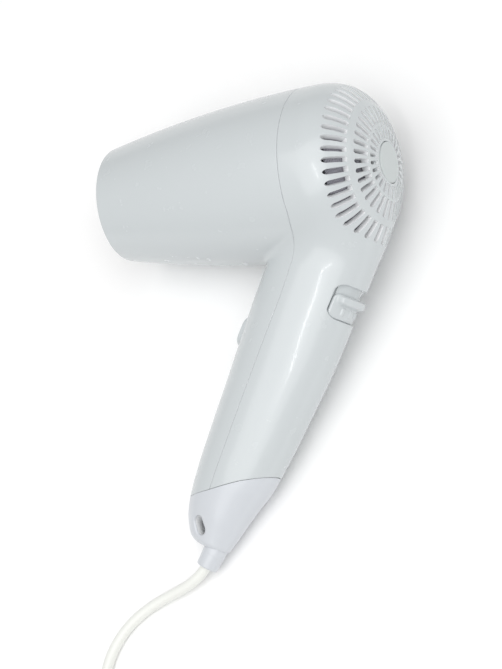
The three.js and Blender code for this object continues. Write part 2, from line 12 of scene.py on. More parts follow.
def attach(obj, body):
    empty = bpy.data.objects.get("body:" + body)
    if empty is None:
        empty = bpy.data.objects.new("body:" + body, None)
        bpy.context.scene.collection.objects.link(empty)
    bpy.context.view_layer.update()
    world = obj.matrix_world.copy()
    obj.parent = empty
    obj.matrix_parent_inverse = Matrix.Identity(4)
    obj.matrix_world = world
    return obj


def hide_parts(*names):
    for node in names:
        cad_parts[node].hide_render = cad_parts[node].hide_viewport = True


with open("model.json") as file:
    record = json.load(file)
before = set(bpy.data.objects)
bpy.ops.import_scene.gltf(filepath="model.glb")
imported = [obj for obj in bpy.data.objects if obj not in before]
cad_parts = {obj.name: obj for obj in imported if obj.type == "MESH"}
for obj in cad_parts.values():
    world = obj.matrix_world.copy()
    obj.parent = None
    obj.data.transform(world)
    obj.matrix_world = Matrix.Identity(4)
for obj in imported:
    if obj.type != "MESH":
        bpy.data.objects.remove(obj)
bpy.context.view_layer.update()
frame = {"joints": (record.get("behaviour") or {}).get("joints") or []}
JOINTS = {joint["name"]: joint for joint in frame["joints"]}
MM = 0.001

# ---------------------------------------------------------------- the dryer's own axes
# +X aft along the barrel, +Y up, +Z its left side; the handle leans forward by LEAN
LEAN = math.radians(26)
AFT = Vector(JOINTS["fan_spin"]["axis"]).normalized()
UP_HANDLE = Vector(JOINTS["heat_slide"]["axis"]).normalized()
UP = (UP_HANDLE - AFT * math.sin(LEAN)).normalized()
LEFT = AFT.cross(UP).normalized()
ORIGIN = Vector(JOINTS["fan_spin"]["pos_m"])
DRYER = Matrix((AFT, UP, LEFT)).transposed()


def to_world(points):
    """Dryer millimetres to row-frame metres."""
    return np.asarray(points) @ (np.array(DRYER).T * MM) + np.array(ORIGIN)


def turn_world(vectors):
    return np.asarray(vectors) @ np.array(DRYER).T


# ---------------------------------------------------------------- sizes of the moulded form (mm)
MOUTH_X, MOUTH_R = -114.0, 30.1
BULGE_X, BULGE_R = 10.0, 44.6
BARREL_POWER = 1.8
DOME_DEPTH, DOME_POWER = 31.3, 2.35
WALL, GRILLE_EXTRA = 2.4, 2.6
# distance down the handle, centre, half depth, half width
HANDLE = np.array([
    (-8, 24.0, 17.0, 13.0), (4, 24.0, 20.0, 15.5), (14, 23.2, 24.5, 18.3), (24, 22.7, 27.0, 20.0),
    (45, 22.7, 27.6, 20.5), (66, 22.6, 27.5, 20.4), (90, 23.0, 26.6, 20.0), (113, 22.8, 25.0, 19.2),
    (143, 22.1, 22.9, 17.6), (160, 21.3, 21.0, 16.4), (170, 20.2, 18.9, 14.9), (180, 19.8, 16.8, 12.8),
    (188, 20.4, 14.4, 10.3), (194, 21.8, 11.4, 8.4), (199, 25.0, 7.8, 7.2)])
CAP_END = 195.8
SEAM_X, SEAM_OFFSET = 0.7, 17.9
CAP_SEAM = np.array([
    (-100, -162), (-78, -160.6), (-57.7, -158.5), (-40, -155.4), (-24, -153.6), (10, -151.5)], float)
SEAM_GAP = 0.16
EDGE = 0.25
SLOT_EDGE = 0.28
SLOT_RINGS = ((41.8, 33.0, 2.75, 44), (29.4, 20.3, 2.2, 36), (18.8, 12.4, 1.7, 28))
BADGE_R = 10.5
RECESS = dict(top=47.0, bottom=65.0, half=14.0, corner=4.2)
SLIDE = dict(length=12.8, half=13.82, gap=0.15, corner=3.2, edge=0.9, sunk=1.15, under=3.2)
APRON = dict(half=13.4, past=6.2, top=2.75, under=3.3)
BUTTON = dict(along=88.0, length=16.4, width=11.0)
EYE = dict(along=186.9, offset=17.2, reach=2.2, radius=2.7, tilt=math.radians(12), lip=1.2)
RELIEF = dict(start=183.0, end=206.0, offset=27.1, radius=6.1, lean=math.radians(6))
CORD_D = 0.0056


# ---------------------------------------------------------------- distance-like functions
def curve(at, xs, ys):
    """Smooth curve through the points, held level past both ends."""
    i = np.clip(np.searchsorted(xs, at) - 1, 0, len(xs) - 2)
    slope = np.gradient(ys, xs)
    span = xs[i + 1] - xs[i]
    t = np.clip((at - xs[i]) / span, 0, 1)
    t2, t3 = t * t, t * t * t
    return ((2 * t3 - 3 * t2 + 1) * ys[i] + (t3 - 2 * t2 + t) * span * slope[i]
            + (3 * t2 - 2 * t3) * ys[i + 1] + (t3 - t2) * span * slope[i + 1])


def smax(a, b, k):
    h = np.maximum(k - np.abs(a - b), 0) / k
    return np.maximum(a, b) + h * h * k / 4


def smin(a, b, k):
    return -smax(-a, -b, k)


def smooth_step(value, low, high):
    t = np.clip((value - low) / (high - low), 0, 1)
    return t * t * (3 - 2 * t)


def to_handle(p):
    c, s = math.cos(LEAN), math.sin(LEAN)
    return c * p[..., 0] - s * p[..., 1], -s * p[..., 0] - c * p[..., 1], p[..., 2]


def from_handle(offset, along, z):
    c, s = math.cos(LEAN), math.sin(LEAN)
    return np.stack(np.broadcast_arrays(c * offset - s * along, -s * offset - c * along, z), -1)


def barrel(p):
    x, r = p[..., 0], np.hypot(p[..., 1], p[..., 2])
    back = np.maximum(BULGE_X - x, 0)
    ahead = r - BULGE_R + (BULGE_R - MOUTH_R) * (back / (BULGE_X - MOUTH_X)) ** BARREL_POWER
    u = np.maximum(x - BULGE_X, 0) / DOME_DEPTH
    v = r / BULGE_R
    q = np.maximum((u ** DOME_POWER + v ** DOME_POWER) ** (1 / DOME_POWER), 1e-6)
    slope = np.hypot(u ** (DOME_POWER - 1) / DOME_DEPTH, v ** (DOME_POWER - 1) / BULGE_R)
    behind = (q - 1) / np.maximum(q ** (1 - DOME_POWER) * slope, 1e-4)
    return np.where(x > BULGE_X, behind, ahead)


def handle(p):
    n, s, z = to_handle(p)
    c, a, b = (curve(s, HANDLE[:, 0], HANDLE[:, j]) for j in (1, 2, 3))
    u, v = (n - c) / a, z / b
    k = np.hypot(u, v)
    f = (k - 1) * np.maximum(k, 1e-3) / np.maximum(np.hypot(u / a, v / b), 1e-3)
    return smax(smax(f, s - CAP_END, 3.0), -2.0 - s, 6.0)


def form(p):
    """Outer surface of the whole dryer: tight fillet at the front of the handle, soft flow behind."""
    n = to_handle(p)[0]
    t = np.clip((n - 2) / 26, 0, 1)
    return smin(barrel(p), handle(p), 4 + 9 * t * t * (3 - 2 * t))


def gradient(f, p, e=0.02):
    return np.stack([f(p + d) - f(p - d) for d in np.eye(3) * e], -1) / (2 * e)


def normals_of(f, p):
    g = gradient(f, p)
    return g / np.linalg.norm(g, axis=-1, keepdims=True)


def settle(f, p, rounds=3):
    """Moves points onto the surface f = 0."""
    for _ in range(rounds):
        g = gradient(f, p)
        step = f(p) / np.maximum((g * g).sum(-1), 1e-6)
        p = p - np.clip(step, -2, 2)[:, None] * g
    return p


# ---------------------------------------------------------------- meshing
def surface_nets(f, low, high, step):
    """Quads round the zero surface of f in a box."""
    axes = [np.arange(lo, hi + step, step) for lo, hi in zip(low, high)]
    planes = [np.stack(np.broadcast_arrays(x, axes[1][:, None], axes[2][None]), -1) for x in axes[0]]
    values = np.stack([f(plane) for plane in planes])
    cells = [len(a) - 1 for a in axes]
    count = np.zeros(cells)
    total = np.zeros(cells + [3])
    quads = []
    for axis in range(3):
        o1, o2 = [k for k in range(3) if k != axis]
        lo = tuple(slice(0, -1) if k == axis else slice(None) for k in range(3))
        hi = tuple(slice(1, None) if k == axis else slice(None) for k in range(3))
        a, b = values[lo], values[hi]
        cross = (a < 0) != (b < 0)
        t = np.where(cross, a / np.where(cross, a - b, 1), 0)
        base = np.stack(np.meshgrid(*[np.arange(n) for n in a.shape], indexing="ij"), -1).astype(float)
        base[..., axis] += t
        for d1 in (0, 1):
            for d2 in (0, 1):
                part = [None] * 3
                part[axis] = slice(0, cells[axis])
                part[o1] = slice(d1, d1 + cells[o1])
                part[o2] = slice(d2, d2 + cells[o2])
                count += cross[tuple(part)]
                total += base[tuple(part)] * cross[tuple(part)][..., None]
        where = np.argwhere(cross)
        inner = (where[:, o1] > 0) & (where[:, o1] < cells[o1])
        inner &= (where[:, o2] > 0) & (where[:, o2] < cells[o2])
        where = where[inner]
        quads.append((axis, o1, o2, where, (a < 0)[tuple(where.T)]))
    has = count > 0
    index = -np.ones(cells, int)
    index[has] = np.arange(has.sum())
    verts = total[has] / count[has][:, None] * step + np.array(low)
    faces = []
    for axis, o1, o2, where, flip in quads:
        ring = []
        for d1, d2 in ((0, 0), (-1, 0), (-1, -1), (0, -1)):
            w = where.copy()
            w[:, o1] += d1
            w[:, o2] += d2
            ring.append(index[tuple(w.T)])
        quad = np.stack(ring, -1)
        forward = ~flip if axis == 1 else flip
        faces.append(np.where(forward[:, None], quad, quad[:, ::-1]))
    quad = np.concatenate(faces)
    return verts, np.concatenate([quad[:, [0, 1, 2]], quad[:, [0, 2, 3]]])


def even_out(f, verts, tris, rounds):
    """Spreads the vertices evenly over the surface."""
    edges = np.concatenate([tris[:, [0, 1]], tris[:, [1, 2]], tris[:, [2, 0]]])
    edges = np.unique(np.sort(edges, 1), axis=0)
    count = np.bincount(edges.ravel(), minlength=len(verts))[:, None]
    for _ in range(rounds):
        total = np.zeros_like(verts)
        for axis in range(3):
            total[:, axis] = (np.bincount(edges[:, 0], verts[edges[:, 1], axis], len(verts))
                              + np.bincount(edges[:, 1], verts[edges[:, 0], axis], len(verts)))
        verts = settle(f, 0.4 * verts + 0.6 * total / np.maximum(count, 1), 1)
    return settle(f, verts, 2)


def refine(verts, tris, marked, f):
    """Splits every edge whose two ends are marked, and settles the new points on the surface."""
    edges = np.sort(np.concatenate([tris[:, [0, 1]], tris[:, [1, 2]], tris[:, [2, 0]]]), 1)
    unique, inverse = np.unique(edges, axis=0, return_inverse=True)
    inverse = inverse.reshape(3, -1).T
    split = marked[unique].all(1)
    number = -np.ones(len(unique), int)
    number[split] = len(verts) + np.arange(split.sum())
    verts = np.concatenate([verts, settle(f, verts[unique[split]].mean(1), 2)])
    mid = number[inverse]
    out = []
    hits = (mid >= 0).sum(1)
    out.append(tris[hits == 0])
    three, m = tris[hits == 3], mid[hits == 3]
    for a, b, c in ((three[:, 0], m[:, 0], m[:, 2]), (m[:, 0], three[:, 1], m[:, 1]),
                    (m[:, 2], m[:, 1], three[:, 2]), (m[:, 0], m[:, 1], m[:, 2])):
        out.append(np.stack([a, b, c], 1))
    for k in range(3):
        roll = [k, (k + 1) % 3, (k + 2) % 3]
        one = (hits == 1) & (mid[:, k] >= 0)
        t, m = tris[one][:, roll], mid[one, k]
        out += [np.stack([t[:, 0], m, t[:, 2]], 1), np.stack([m, t[:, 1], t[:, 2]], 1)]
        two = (hits == 2) & (mid[:, k] < 0)
        t, m1, m2 = tris[two][:, roll], mid[two, (k + 1) % 3], mid[two, (k + 2) % 3]
        out += [np.stack([t[:, 0], t[:, 1], m1], 1), np.stack([t[:, 0], m1, m2], 1),
                np.stack([m2, m1, t[:, 2]], 1)]
    return verts, np.concatenate(out)


def trim(verts, tris, keep, f):
    """Cuts the surface along keep = 0 and returns the side where keep is positive."""
    value = keep(verts)
    edges = np.unique(np.sort(np.concatenate([tris[:, [0, 1]], tris[:, [1, 2]], tris[:, [2, 0]]]), 1), axis=0)
    crossing = edges[(value[edges[:, 0]] > 0) != (value[edges[:, 1]] > 0)]
    share = value[crossing[:, 0]] / (value[crossing[:, 0]] - value[crossing[:, 1]])
    near = np.concatenate([crossing[share < 0.22, 0], crossing[share > 0.78, 1]])
    near = np.unique(near)
    moved = verts[near]
    for _ in range(3):
        g = gradient(keep, moved)
        moved = moved - (keep(moved) / np.maximum((g * g).sum(-1), 1e-6))[:, None] * g
        moved = settle(f, moved, 1)
    verts = verts.copy()
    verts[near] = moved
    value[near] = 0
    a, b = edges[:, 0], edges[:, 1]
    crossing = edges[value[a] * value[b] < 0]
    va, vb = value[crossing[:, 0]], value[crossing[:, 1]]
    start, end = verts[crossing[:, 0]], verts[crossing[:, 1]]
    points = start + (va / (va - vb))[:, None] * (end - start)
    for _ in range(3):
        g = gradient(keep, points)
        points = points - (keep(points) / np.maximum((g * g).sum(-1), 1e-6))[:, None] * g
        points = settle(f, points, 1)
    key = {(i, j): len(verts) + n for n, (i, j) in enumerate(crossing)}
    verts = np.concatenate([verts, points])
    sign = np.sign(value)[tris]
    inside = (sign >= 0).all(1) & (sign > 0).any(1)
    out = [tris[inside]]
    mixed = tris[(sign.max(1) > 0) & (sign.min(1) < 0)]
    pieces = []
    for tri in mixed:
        polygon = []
        for k in range(3):
            i, j = tri[k], tri[(k + 1) % 3]
            if value[i] >= 0:
                polygon.append(i)
            if value[i] * value[j] < 0:
                polygon.append(key[(min(i, j), max(i, j))])
        pieces += [(polygon[0], polygon[k], polygon[k + 1]) for k in range(1, len(polygon) - 1)]
    out.append(np.array(pieces, int).reshape(-1, 3))
    tris = np.concatenate(out)
    used, tris = np.unique(tris, return_inverse=True)
    return verts[used], tris.reshape(-1, 3)


def rim_edges(tris):
    """Directed edges that only one triangle has."""
    edges = np.concatenate([tris[:, [0, 1]], tris[:, [1, 2]], tris[:, [2, 0]]])
    keys = np.sort(edges, 1)
    _, inverse, counts = np.unique(keys, axis=0, return_inverse=True, return_counts=True)
    return edges[counts[inverse.ravel()] == 1]


MIDDLE = 1e-6


def moulding(f, cuts, base, depth, tunnel=None):
    """A moulded part: outer skin inside all cuts, rounded edges, a wall of depth(p) and an inner skin.

    cuts holds (field, radius) pairs: the part keeps field > 0 and its edge there is rounded by radius.
    tunnel(p) marks edges whose wall runs to the middle plane instead of to the inner skin.
    Returns vertices, triangles, one normal for each triangle corner, and which triangles are walls or
    inner skin, in dryer millimetres."""
    fields = [lambda p, field=field, radius=radius: field(p) - radius for field, radius in cuts]
    radii = np.array([radius for _, radius in cuts])
    verts, tris = base
    value = np.min([field(verts) for field in fields], 0)
    tris = tris[(value > -6)[tris].any(1)]
    for field in fields:
        verts, tris = trim(verts, tris, field, f)
    verts[np.abs(verts[:, 2]) < 0.02, 2] = 0
    normal = normals_of(f, verts)
    rim = rim_edges(tris)
    on_middle = np.abs(verts[:, 2]) < MIDDLE
    rim = rim[~(on_middle[rim[:, 0]] & on_middle[rim[:, 1]])]
    ids = np.unique(rim)
    local = -np.ones(len(verts), int)
    local[ids] = np.arange(len(ids))
    p, n = verts[ids], normal[ids]
    out = -gradient(lambda q: np.min([field(q) for field in fields], 0), p, 0.05)
    out -= (out * n).sum(1)[:, None] * n
    out /= np.maximum(np.linalg.norm(out, axis=1), 1e-6)[:, None]
    out[on_middle[ids], 2] = 0
    radius = radii[np.argmin([np.abs(field(p)) for field in fields], 0)][:, None]
    wall = np.maximum(depth(p)[:, None], radius)
    rings, ring_normals = [p], [n]
    for step in (30, 60, 90):
        a = math.radians(step)
        rings.append(p + out * radius * math.sin(a) - n * radius * (1 - math.cos(a)))
        ring_normals.append(n * math.cos(a) + out * math.sin(a))
    last = p + out * radius - n * wall
    if tunnel is not None:
        through = tunnel(p)
        last[through] = (p + out * radius)[through] * (1, 1, 0)
    rings.append(last)
    ring_normals.append(out)
    count = len(verts)
    inner = verts - normal * depth(verts)[:, None]
    inner[ids] = last
    inner[on_middle, 2] = 0
    start = [0, 2 * count, 2 * count + len(ids), 2 * count + 2 * len(ids)]
    corners = [tris, tris[:, ::-1] + count]
    corner_normals = [normal[tris], -normal[tris[:, ::-1]]]

    def ring_index(level, i):
        if level == 0:
            return i
        return i + count if level == 4 else start[level] + local[i]

    i, j = rim[:, 0], rim[:, 1]
    for level in range(4):
        a0, b0 = ring_index(level, i), ring_index(level, j)
        a1, b1 = ring_index(level + 1, i), ring_index(level + 1, j)
        near, far = ring_normals[level][local], ring_normals[level + 1][local]
        corners += [np.stack([b0, a0, a1], 1), np.stack([b0, a1, b1], 1)]
        corner_normals += [np.stack([near[j], near[i], far[i]], 1), np.stack([near[j], far[i], far[j]], 1)]
    verts = np.concatenate([verts, inner] + rings[1:-1])
    inside = np.repeat([k == 1 or k > 7 for k in range(len(corners))], [len(c) for c in corners])
    tris = np.concatenate(corners)
    split = np.concatenate(corner_normals)
    # the right side is the left one mirrored
    shift = np.arange(len(verts)) + len(verts)
    middle = np.abs(verts[:, 2]) < MIDDLE
    shift[middle] = np.arange(len(verts))[middle]
    tris = np.concatenate([tris, shift[tris][:, ::-1]])
    split = np.concatenate([split, split[:, ::-1] * (1, 1, -1)])
    inside = np.concatenate([inside, inside])
    verts = np.concatenate([verts, verts * (1, 1, -1)])
    used, tris = np.unique(tris, return_inverse=True)
    verts, tris = verts[used], tris.reshape(-1, 3)
    return verts, tris, split, inside


def make_object(name, verts, faces, material, split=None, body="housing"):
    """A piece from points in dryer millimetres."""
    mesh = bpy.data.meshes.new(name)
    mesh.from_pydata(to_world(verts).tolist(), [], faces.tolist() if hasattr(faces, "tolist") else faces)
    mesh.polygons.foreach_set("use_smooth", [True] * len(mesh.polygons))
    if split is not None:
        split = turn_world(split / np.maximum(np.linalg.norm(split, axis=-1, keepdims=True), 1e-9))
        mesh.normals_split_custom_set(split.reshape(-1, 3).tolist())
    mesh.materials.append(material)
    thing = bpy.data.objects.new(name, mesh)
    bpy.context.scene.collection.objects.link(thing)
    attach(thing, body)
    return thing


# ---------------------------------------------------------------- camera
# the view's direction, turn and distance in the dryer's own axes
CAMERA = dict(azimuth=math.radians(28.26), elevation=math.radians(-11.0), roll=math.radians(-1.29),
              distance=1113.5, aside=33.17, above=81.69, lens=117.6)


def add_camera():
    a, e, roll = CAMERA["azimuth"], CAMERA["elevation"], CAMERA["roll"]
    back = Vector((math.sin(a) * math.cos(e), math.sin(e), math.cos(a) * math.cos(e)))
    right = Vector((0, 1, 0)).cross(back).normalized()
    up = back.cross(right)
    right, up = (right * math.cos(roll) + up * math.sin(roll), up * math.cos(roll) - right * math.sin(roll))
    eye = back * CAMERA["distance"] - right * CAMERA["aside"] - up * CAMERA["above"]
    data = bpy.data.cameras.new("camera")
    data.lens = CAMERA["lens"]
    data.sensor_width = 36
    data.clip_start = 0.05
    camera = bpy.data.objects.new("camera", data)
    bpy.context.scene.collection.objects.link(camera)
    turn = (DRYER @ Matrix((right, up, back)).transposed()).to_4x4()
    camera.matrix_world = Matrix.Translation(DRYER @ eye * MM + ORIGIN) @ turn
    bpy.context.scene.camera = camera


# ---------------------------------------------------------------- materials
def node_material(name):
    material = bpy.data.materials.new(name)
    material.use_nodes = True
    tree = material.node_tree
    return material, tree.nodes, tree.links, tree.nodes["Principled BSDF"]


def coordinates(nodes, links, scale):
    place = nodes.new("ShaderNodeTexCoord")
    mapping = nodes.new("ShaderNodeMapping")
    mapping.inputs["Scale"].default_value = scale if hasattr(scale, "__len__") else (scale, scale, scale)
    links.new(place.outputs["Object"], mapping.inputs["Vector"])
    return mapping.outputs["Vector"]


def noise(nodes, links, vector, scale, detail=3.0, rough=0.5):
    texture = nodes.new("ShaderNodeTexNoise")
    texture.inputs["Scale"].default_value = scale
    texture.inputs["Detail"].default_value = detail
    texture.inputs["Roughness"].default_value = rough
    links.new(vector, texture.inputs["Vector"])
    return texture.outputs["Fac"]


def ramp(nodes, links, value, stops):
    shade = nodes.new("ShaderNodeValToRGB")
    while len(shade.color_ramp.elements) < len(stops):
        shade.color_ramp.elements.new(0.5)
    for element, (at, colour) in zip(shade.color_ramp.elements, stops):
        element.position = at
        element.color = (*colour, 1)
    links.new(value, shade.inputs["Fac"])
    return shade.outputs["Color"]


def spread(nodes, links, value, low, high):
    change = nodes.new("ShaderNodeMapRange")
    change.inputs["To Min"].default_value = low
    change.inputs["To Max"].default_value = high
    links.new(value, change.inputs["Value"])
    return change.outputs["Result"]


def bump(nodes, links, heights, strength, distance):
    node = nodes.new("ShaderNodeBump")
    node.inputs["Strength"].default_value = strength
    node.inputs["Distance"].default_value = distance
    links.new(heights, node.inputs["Height"])
    return node.outputs["Normal"]


def moulded_plastic(name, colour, roughness, texture=0.05, grain=900.0, coat=0.0, tone=0.035):
    """Moulded plastic: faint cloudiness in the colour, uneven gloss, and a fine skin texture."""
    material, nodes, links, shader = node_material(name)
    place = coordinates(nodes, links, 1)
    cloud = noise(nodes, links, place, 38, 4)
    dark = tuple(c * (1 - tone) for c in colour)
    light = tuple(min(c * (1 + tone), 1) for c in colour)
    links.new(ramp(nodes, links, cloud, ((0.0, dark), (1.0, light))), shader.inputs["Base Color"])
    patches = noise(nodes, links, place, 120, 3)
    links.new(spread(nodes, links, patches, roughness * 0.85, roughness * 1.15), shader.inputs["Roughness"])
    skin = noise(nodes, links, place, grain, 2, 0.4)
    links.new(bump(nodes, links, skin, texture, 0.0002), shader.inputs["Normal"])
    shader.inputs["IOR"].default_value = 1.5
    shader.inputs["Coat Weight"].default_value = coat
    shader.inputs["Coat Roughness"].default_value = 0.08
    return material


def metal(name, colour, roughness, wear=0.25):
    """Drawn or plated metal with fine lines and dull patches."""
    material, nodes, links, shader = node_material(name)
    lines = noise(nodes, links, coordinates(nodes, links, (60, 60, 900)), 4, 2)
    patches = noise(nodes, links, coordinates(nodes, links, 1), 260, 4)
    dull = tuple(c * (1 - wear) for c in colour)
    links.new(ramp(nodes, links, patches, ((0.35, dull), (0.65, colour))), shader.inputs["Base Color"])
    links.new(spread(nodes, links, lines, roughness * 0.7, roughness * 1.4), shader.inputs["Roughness"])
    links.new(bump(nodes, links, lines, 0.15, 0.0001), shader.inputs["Normal"])
    shader.inputs["Metallic"].default_value = 1.0
    return material


def woven_screen(name):
    """Fine grey lint screen: crossed threads with dark holes between them."""
    material, nodes, links, shader = node_material(name)
    place = coordinates(nodes, links, 1)
    waves = []
    for direction in ("Y", "Z"):
        wave = nodes.new("ShaderNodeTexWave")
        wave.bands_direction = direction
        wave.inputs["Scale"].default_value = 480
        wave.inputs["Distortion"].default_value = 0.4
        links.new(place, wave.inputs["Vector"])
        waves.append(wave.outputs["Fac"])
    larger = nodes.new("ShaderNodeMath")
    larger.operation = "MAXIMUM"
    links.new(waves[0], larger.inputs[0])
    links.new(waves[1], larger.inputs[1])
    threads = ramp(nodes, links, larger.outputs[0], ((0.5, (0.16, 0.155, 0.18)), (0.8, (0.5, 0.49, 0.55))))
    links.new(threads, shader.inputs["Base Color"])
    links.new(bump(nodes, links, larger.outputs[0], 0.6, 0.0003), shader.inputs["Normal"])
    shader.inputs["Roughness"].default_value = 0.75
    return material


def layered_mica(name):
    """Pressed mica sheet: golden flakes under a waxy shine."""
    material, nodes, links, shader = node_material(name)
    place = coordinates(nodes, links, 1)
    flakes = nodes.new("ShaderNodeTexVoronoi")
    flakes.inputs["Scale"].default_value = 420
    links.new(place, flakes.inputs["Vector"])
    tone = ramp(nodes, links, flakes.outputs["Distance"],
                ((0.0, (0.62, 0.5, 0.31)), (0.8, (0.36, 0.27, 0.15))))
    links.new(tone, shader.inputs["Base Color"])
    gloss = noise(nodes, links, place, 300, 3)
    links.new(spread(nodes, links, gloss, 0.3, 0.65), shader.inputs["Roughness"])
    links.new(bump(nodes, links, flakes.outputs["Distance"], 0.2, 0.0002), shader.inputs["Normal"])
    return material


def laminate(name):
    """Brown paper laminate of a circuit board."""
    material, nodes, links, shader = node_material(name)
    fibres = noise(nodes, links, coordinates(nodes, links, (300, 2200, 300)), 1, 4)
    links.new(ramp(nodes, links, fibres, ((0.3, (0.2, 0.12, 0.045)), (0.7, (0.3, 0.2, 0.085)))),
              shader.inputs["Base Color"])
    links.new(bump(nodes, links, fibres, 0.2, 0.0001), shader.inputs["Normal"])
    shader.inputs["Roughness"].default_value = 0.55
    return material


WHITE = moulded_plastic("white_abs", (0.585, 0.62, 0.632), 0.26, texture=0.008, coat=0.25, tone=0.008)
# painted light: the inner skin and the straight walls of the slots and cut edges are the same white plastic,
# given a much brighter colour to stand in for light reaching into the slots
PAINTED_LIGHT_INNER_WHITE = moulded_plastic("inner_abs_painted_light", (0.90, 0.91, 0.92), 0.4, texture=0.03, tone=0.008)
CAP_WHITE = moulded_plastic("cap_abs", (0.62, 0.645, 0.68), 0.3, texture=0.008, coat=0.2, tone=0.008)
BADGE_GREY = moulded_plastic("badge_abs", (0.60, 0.64, 0.64), 0.42, texture=0.06, tone=0.015)
CREAM = moulded_plastic("cream_pvc", (0.84, 0.85, 0.81), 0.38, texture=0.12, grain=1500, tone=0.012)
BLACK = moulded_plastic("black_moulding", (0.025, 0.025, 0.03), 0.45, texture=0.25, grain=1800, tone=0.2)
FAN_PLASTIC = moulded_plastic("fan_plastic", (0.55, 0.58, 0.6), 0.4, texture=0.1, tone=0.04)
BROWN_SLEEVE = moulded_plastic("brown_sleeve", (0.24, 0.06, 0.03), 0.45, texture=0.1, grain=2000, tone=0.1)
BLUE_SLEEVE = moulded_plastic("blue_sleeve", (0.03, 0.09, 0.28), 0.45, texture=0.1, grain=2000, tone=0.1)
STEEL = metal("plated_steel", (0.55, 0.56, 0.58), 0.3)
BRASS = metal("turned_brass", (0.74, 0.55, 0.25), 0.28)
HEAT_WIRE = metal("oxidised_wire", (0.3, 0.27, 0.25), 0.45, wear=0.45)
SCREEN = woven_screen("lint_screen")
MICA = layered_mica("mica_sheet")
LAMINATE = laminate("circuit_laminate")

NODE_FINISH = {
    "fan": FAN_PLASTIC, "motor_shaft": STEEL, "motor_rotor": HEAT_WIRE, "motor_can": STEEL,
    "motor_end": BLACK,
    "fan_shroud": BLACK, "outlet_grille": BLACK, "heat_shield": MICA, "shield_ring": BLACK,
    "heater_board_flat": MICA, "heater_board_cross": MICA, "heater_coil_low": HEAT_WIRE,
    "heater_coil_high": HEAT_WIRE, "thermostat": BADGE_GREY, "thermal_fuse": STEEL, "switch_body": BLACK,
    "micro_switch": BLACK, "circuit_board": LAMINATE, "capacitor": BLUE_SLEEVE, "diode_1": BLACK,
    "diode_2": BLACK, "diode_3": BLACK, "wire_live": BROWN_SLEEVE, "wire_neutral": BLUE_SLEEVE,
    "cord_tail": CREAM, "cord_clamp": BADGE_GREY, "clamp_screw_left": STEEL, "clamp_screw_right": STEEL,
    "switch_plate": WHITE, "plug_pin_left": BRASS, "plug_pin_right": BRASS,
}


def finish_nodes():
    """CAD nodes that stay in view take their procedural finish."""
    for name, material in NODE_FINISH.items():
        mesh = bpy.data.objects[name].data
        mesh.materials.clear()
        mesh.materials.append(material)


# ---------------------------------------------------------------- lead and coil (row frame, mm)
LEAD_ROUTE = [
    (-21, -104.9, 11), (-24.1, -109.9, 10), (-28.8, -117.4, 8.4), (-33, -121.8, 7.4), (-38.8, -125.5, 6.1),
    (-46.4, -128.6, 4.8), (-55, -132, 3.9), (-64, -136.8, 3.3), (-73, -144, 3.1), (-80, -153.4, 3.1),
    (-84.3, -164.6, 3.2), (-86, -177, 3.3), (-86.3, -188, 3.4), (-86.3, -200, 3.4)]
TAIL_ROUTE = [
    (-46, -246.6, 19.7), (-34, -248.8, 19.5), (-25, -248.2, 18.2), (-18.4, -246.6, 15.9), (-12, -243.7, 13.0),
    (-4, -239.6, 10.0), (3, -237.8, 8.9), (8, -237.6, 8.8), (17, -237.6, 8.8)]
COIL_X, COIL_Y = -48.9, -215.0
TURN_R = (37.1, 31.5, 25.9)
LAYER_Z = (3.4, 9.0, 14.6)
CROSS_R, CROSS_Z = 28.7, 19.5
# degrees round the coil where the lead steps to its next place: start, end, radius, height
COIL_STEPS = [
    (275, 360, TURN_R[1], LAYER_Z[0]), (635, 720, TURN_R[2], LAYER_Z[0]),
    (925, 995, TURN_R[2], LAYER_Z[1]), (1200, 1285, TURN_R[1], LAYER_Z[1]),
    (1560, 1645, TURN_R[0], LAYER_Z[1]),
    (1870, 1920, TURN_R[0], LAYER_Z[2]), (2160, 2230, TURN_R[1], LAYER_Z[2]),
    (2520, 2590, TURN_R[2], LAYER_Z[2]), (2770, 2860, CROSS_R, CROSS_Z)]
COIL_END = 2952


def smooth_path(points, step):
    """Centripetal Catmull-Rom through the points, sampled about every step mm."""
    p = np.array(points, float)
    p = np.concatenate([[2 * p[0] - p[1]], p, [2 * p[-1] - p[-2]]])
    out = []
    for i in range(1, len(p) - 2):
        t = np.concatenate([[0], np.cumsum(np.sqrt(np.linalg.norm(np.diff(p[i - 1:i + 3], axis=0), axis=1)))])
        count = max(int(round(np.linalg.norm(p[i + 1] - p[i]) / step)), 1)
        for u in np.linspace(t[1], t[2], count, endpoint=False):
            a = [((t[k + 1] - u) * p[i - 1 + k] + (u - t[k]) * p[i + k]) / (t[k + 1] - t[k])
                 for k in range(3)]
            b = [((t[k + 2] - u) * a[k] + (u - t[k]) * a[k + 1]) / (t[k + 2] - t[k]) for k in range(2)]
            out.append(((t[2] - u) * b[0] + (u - t[1]) * b[1]) / (t[2] - t[1]))
    return np.array(out + [p[-2]])


def coil_path():
    angle = np.arange(12, COIL_END, 5.0)
    radius = np.full(len(angle), TURN_R[0])
    height = np.full(len(angle), LAYER_Z[0])
    for start, end, r, z in COIL_STEPS:
        t = smooth_step(angle, start, end)
        before = angle > start
        r0, z0 = radius[np.searchsorted(angle, start) - 1], height[np.searchsorted(angle, start) - 1]
        radius = np.where(before, r0 + (r - r0) * t, radius)
        height = np.where(before, z0 + (z - z0) * t, height)
    a = np.radians(angle + 180)
    return np.stack([COIL_X + radius * np.cos(a), COIL_Y + radius * np.sin(a), height], 1)


def round_off(p, rounds):
    """Evens out the joins between the stretches, with both ends held."""
    for _ in range(rounds):
        p[2:-2] = 0.5 * p[2:-2] + 0.25 * (p[1:-3] + p[3:-1])
    return p


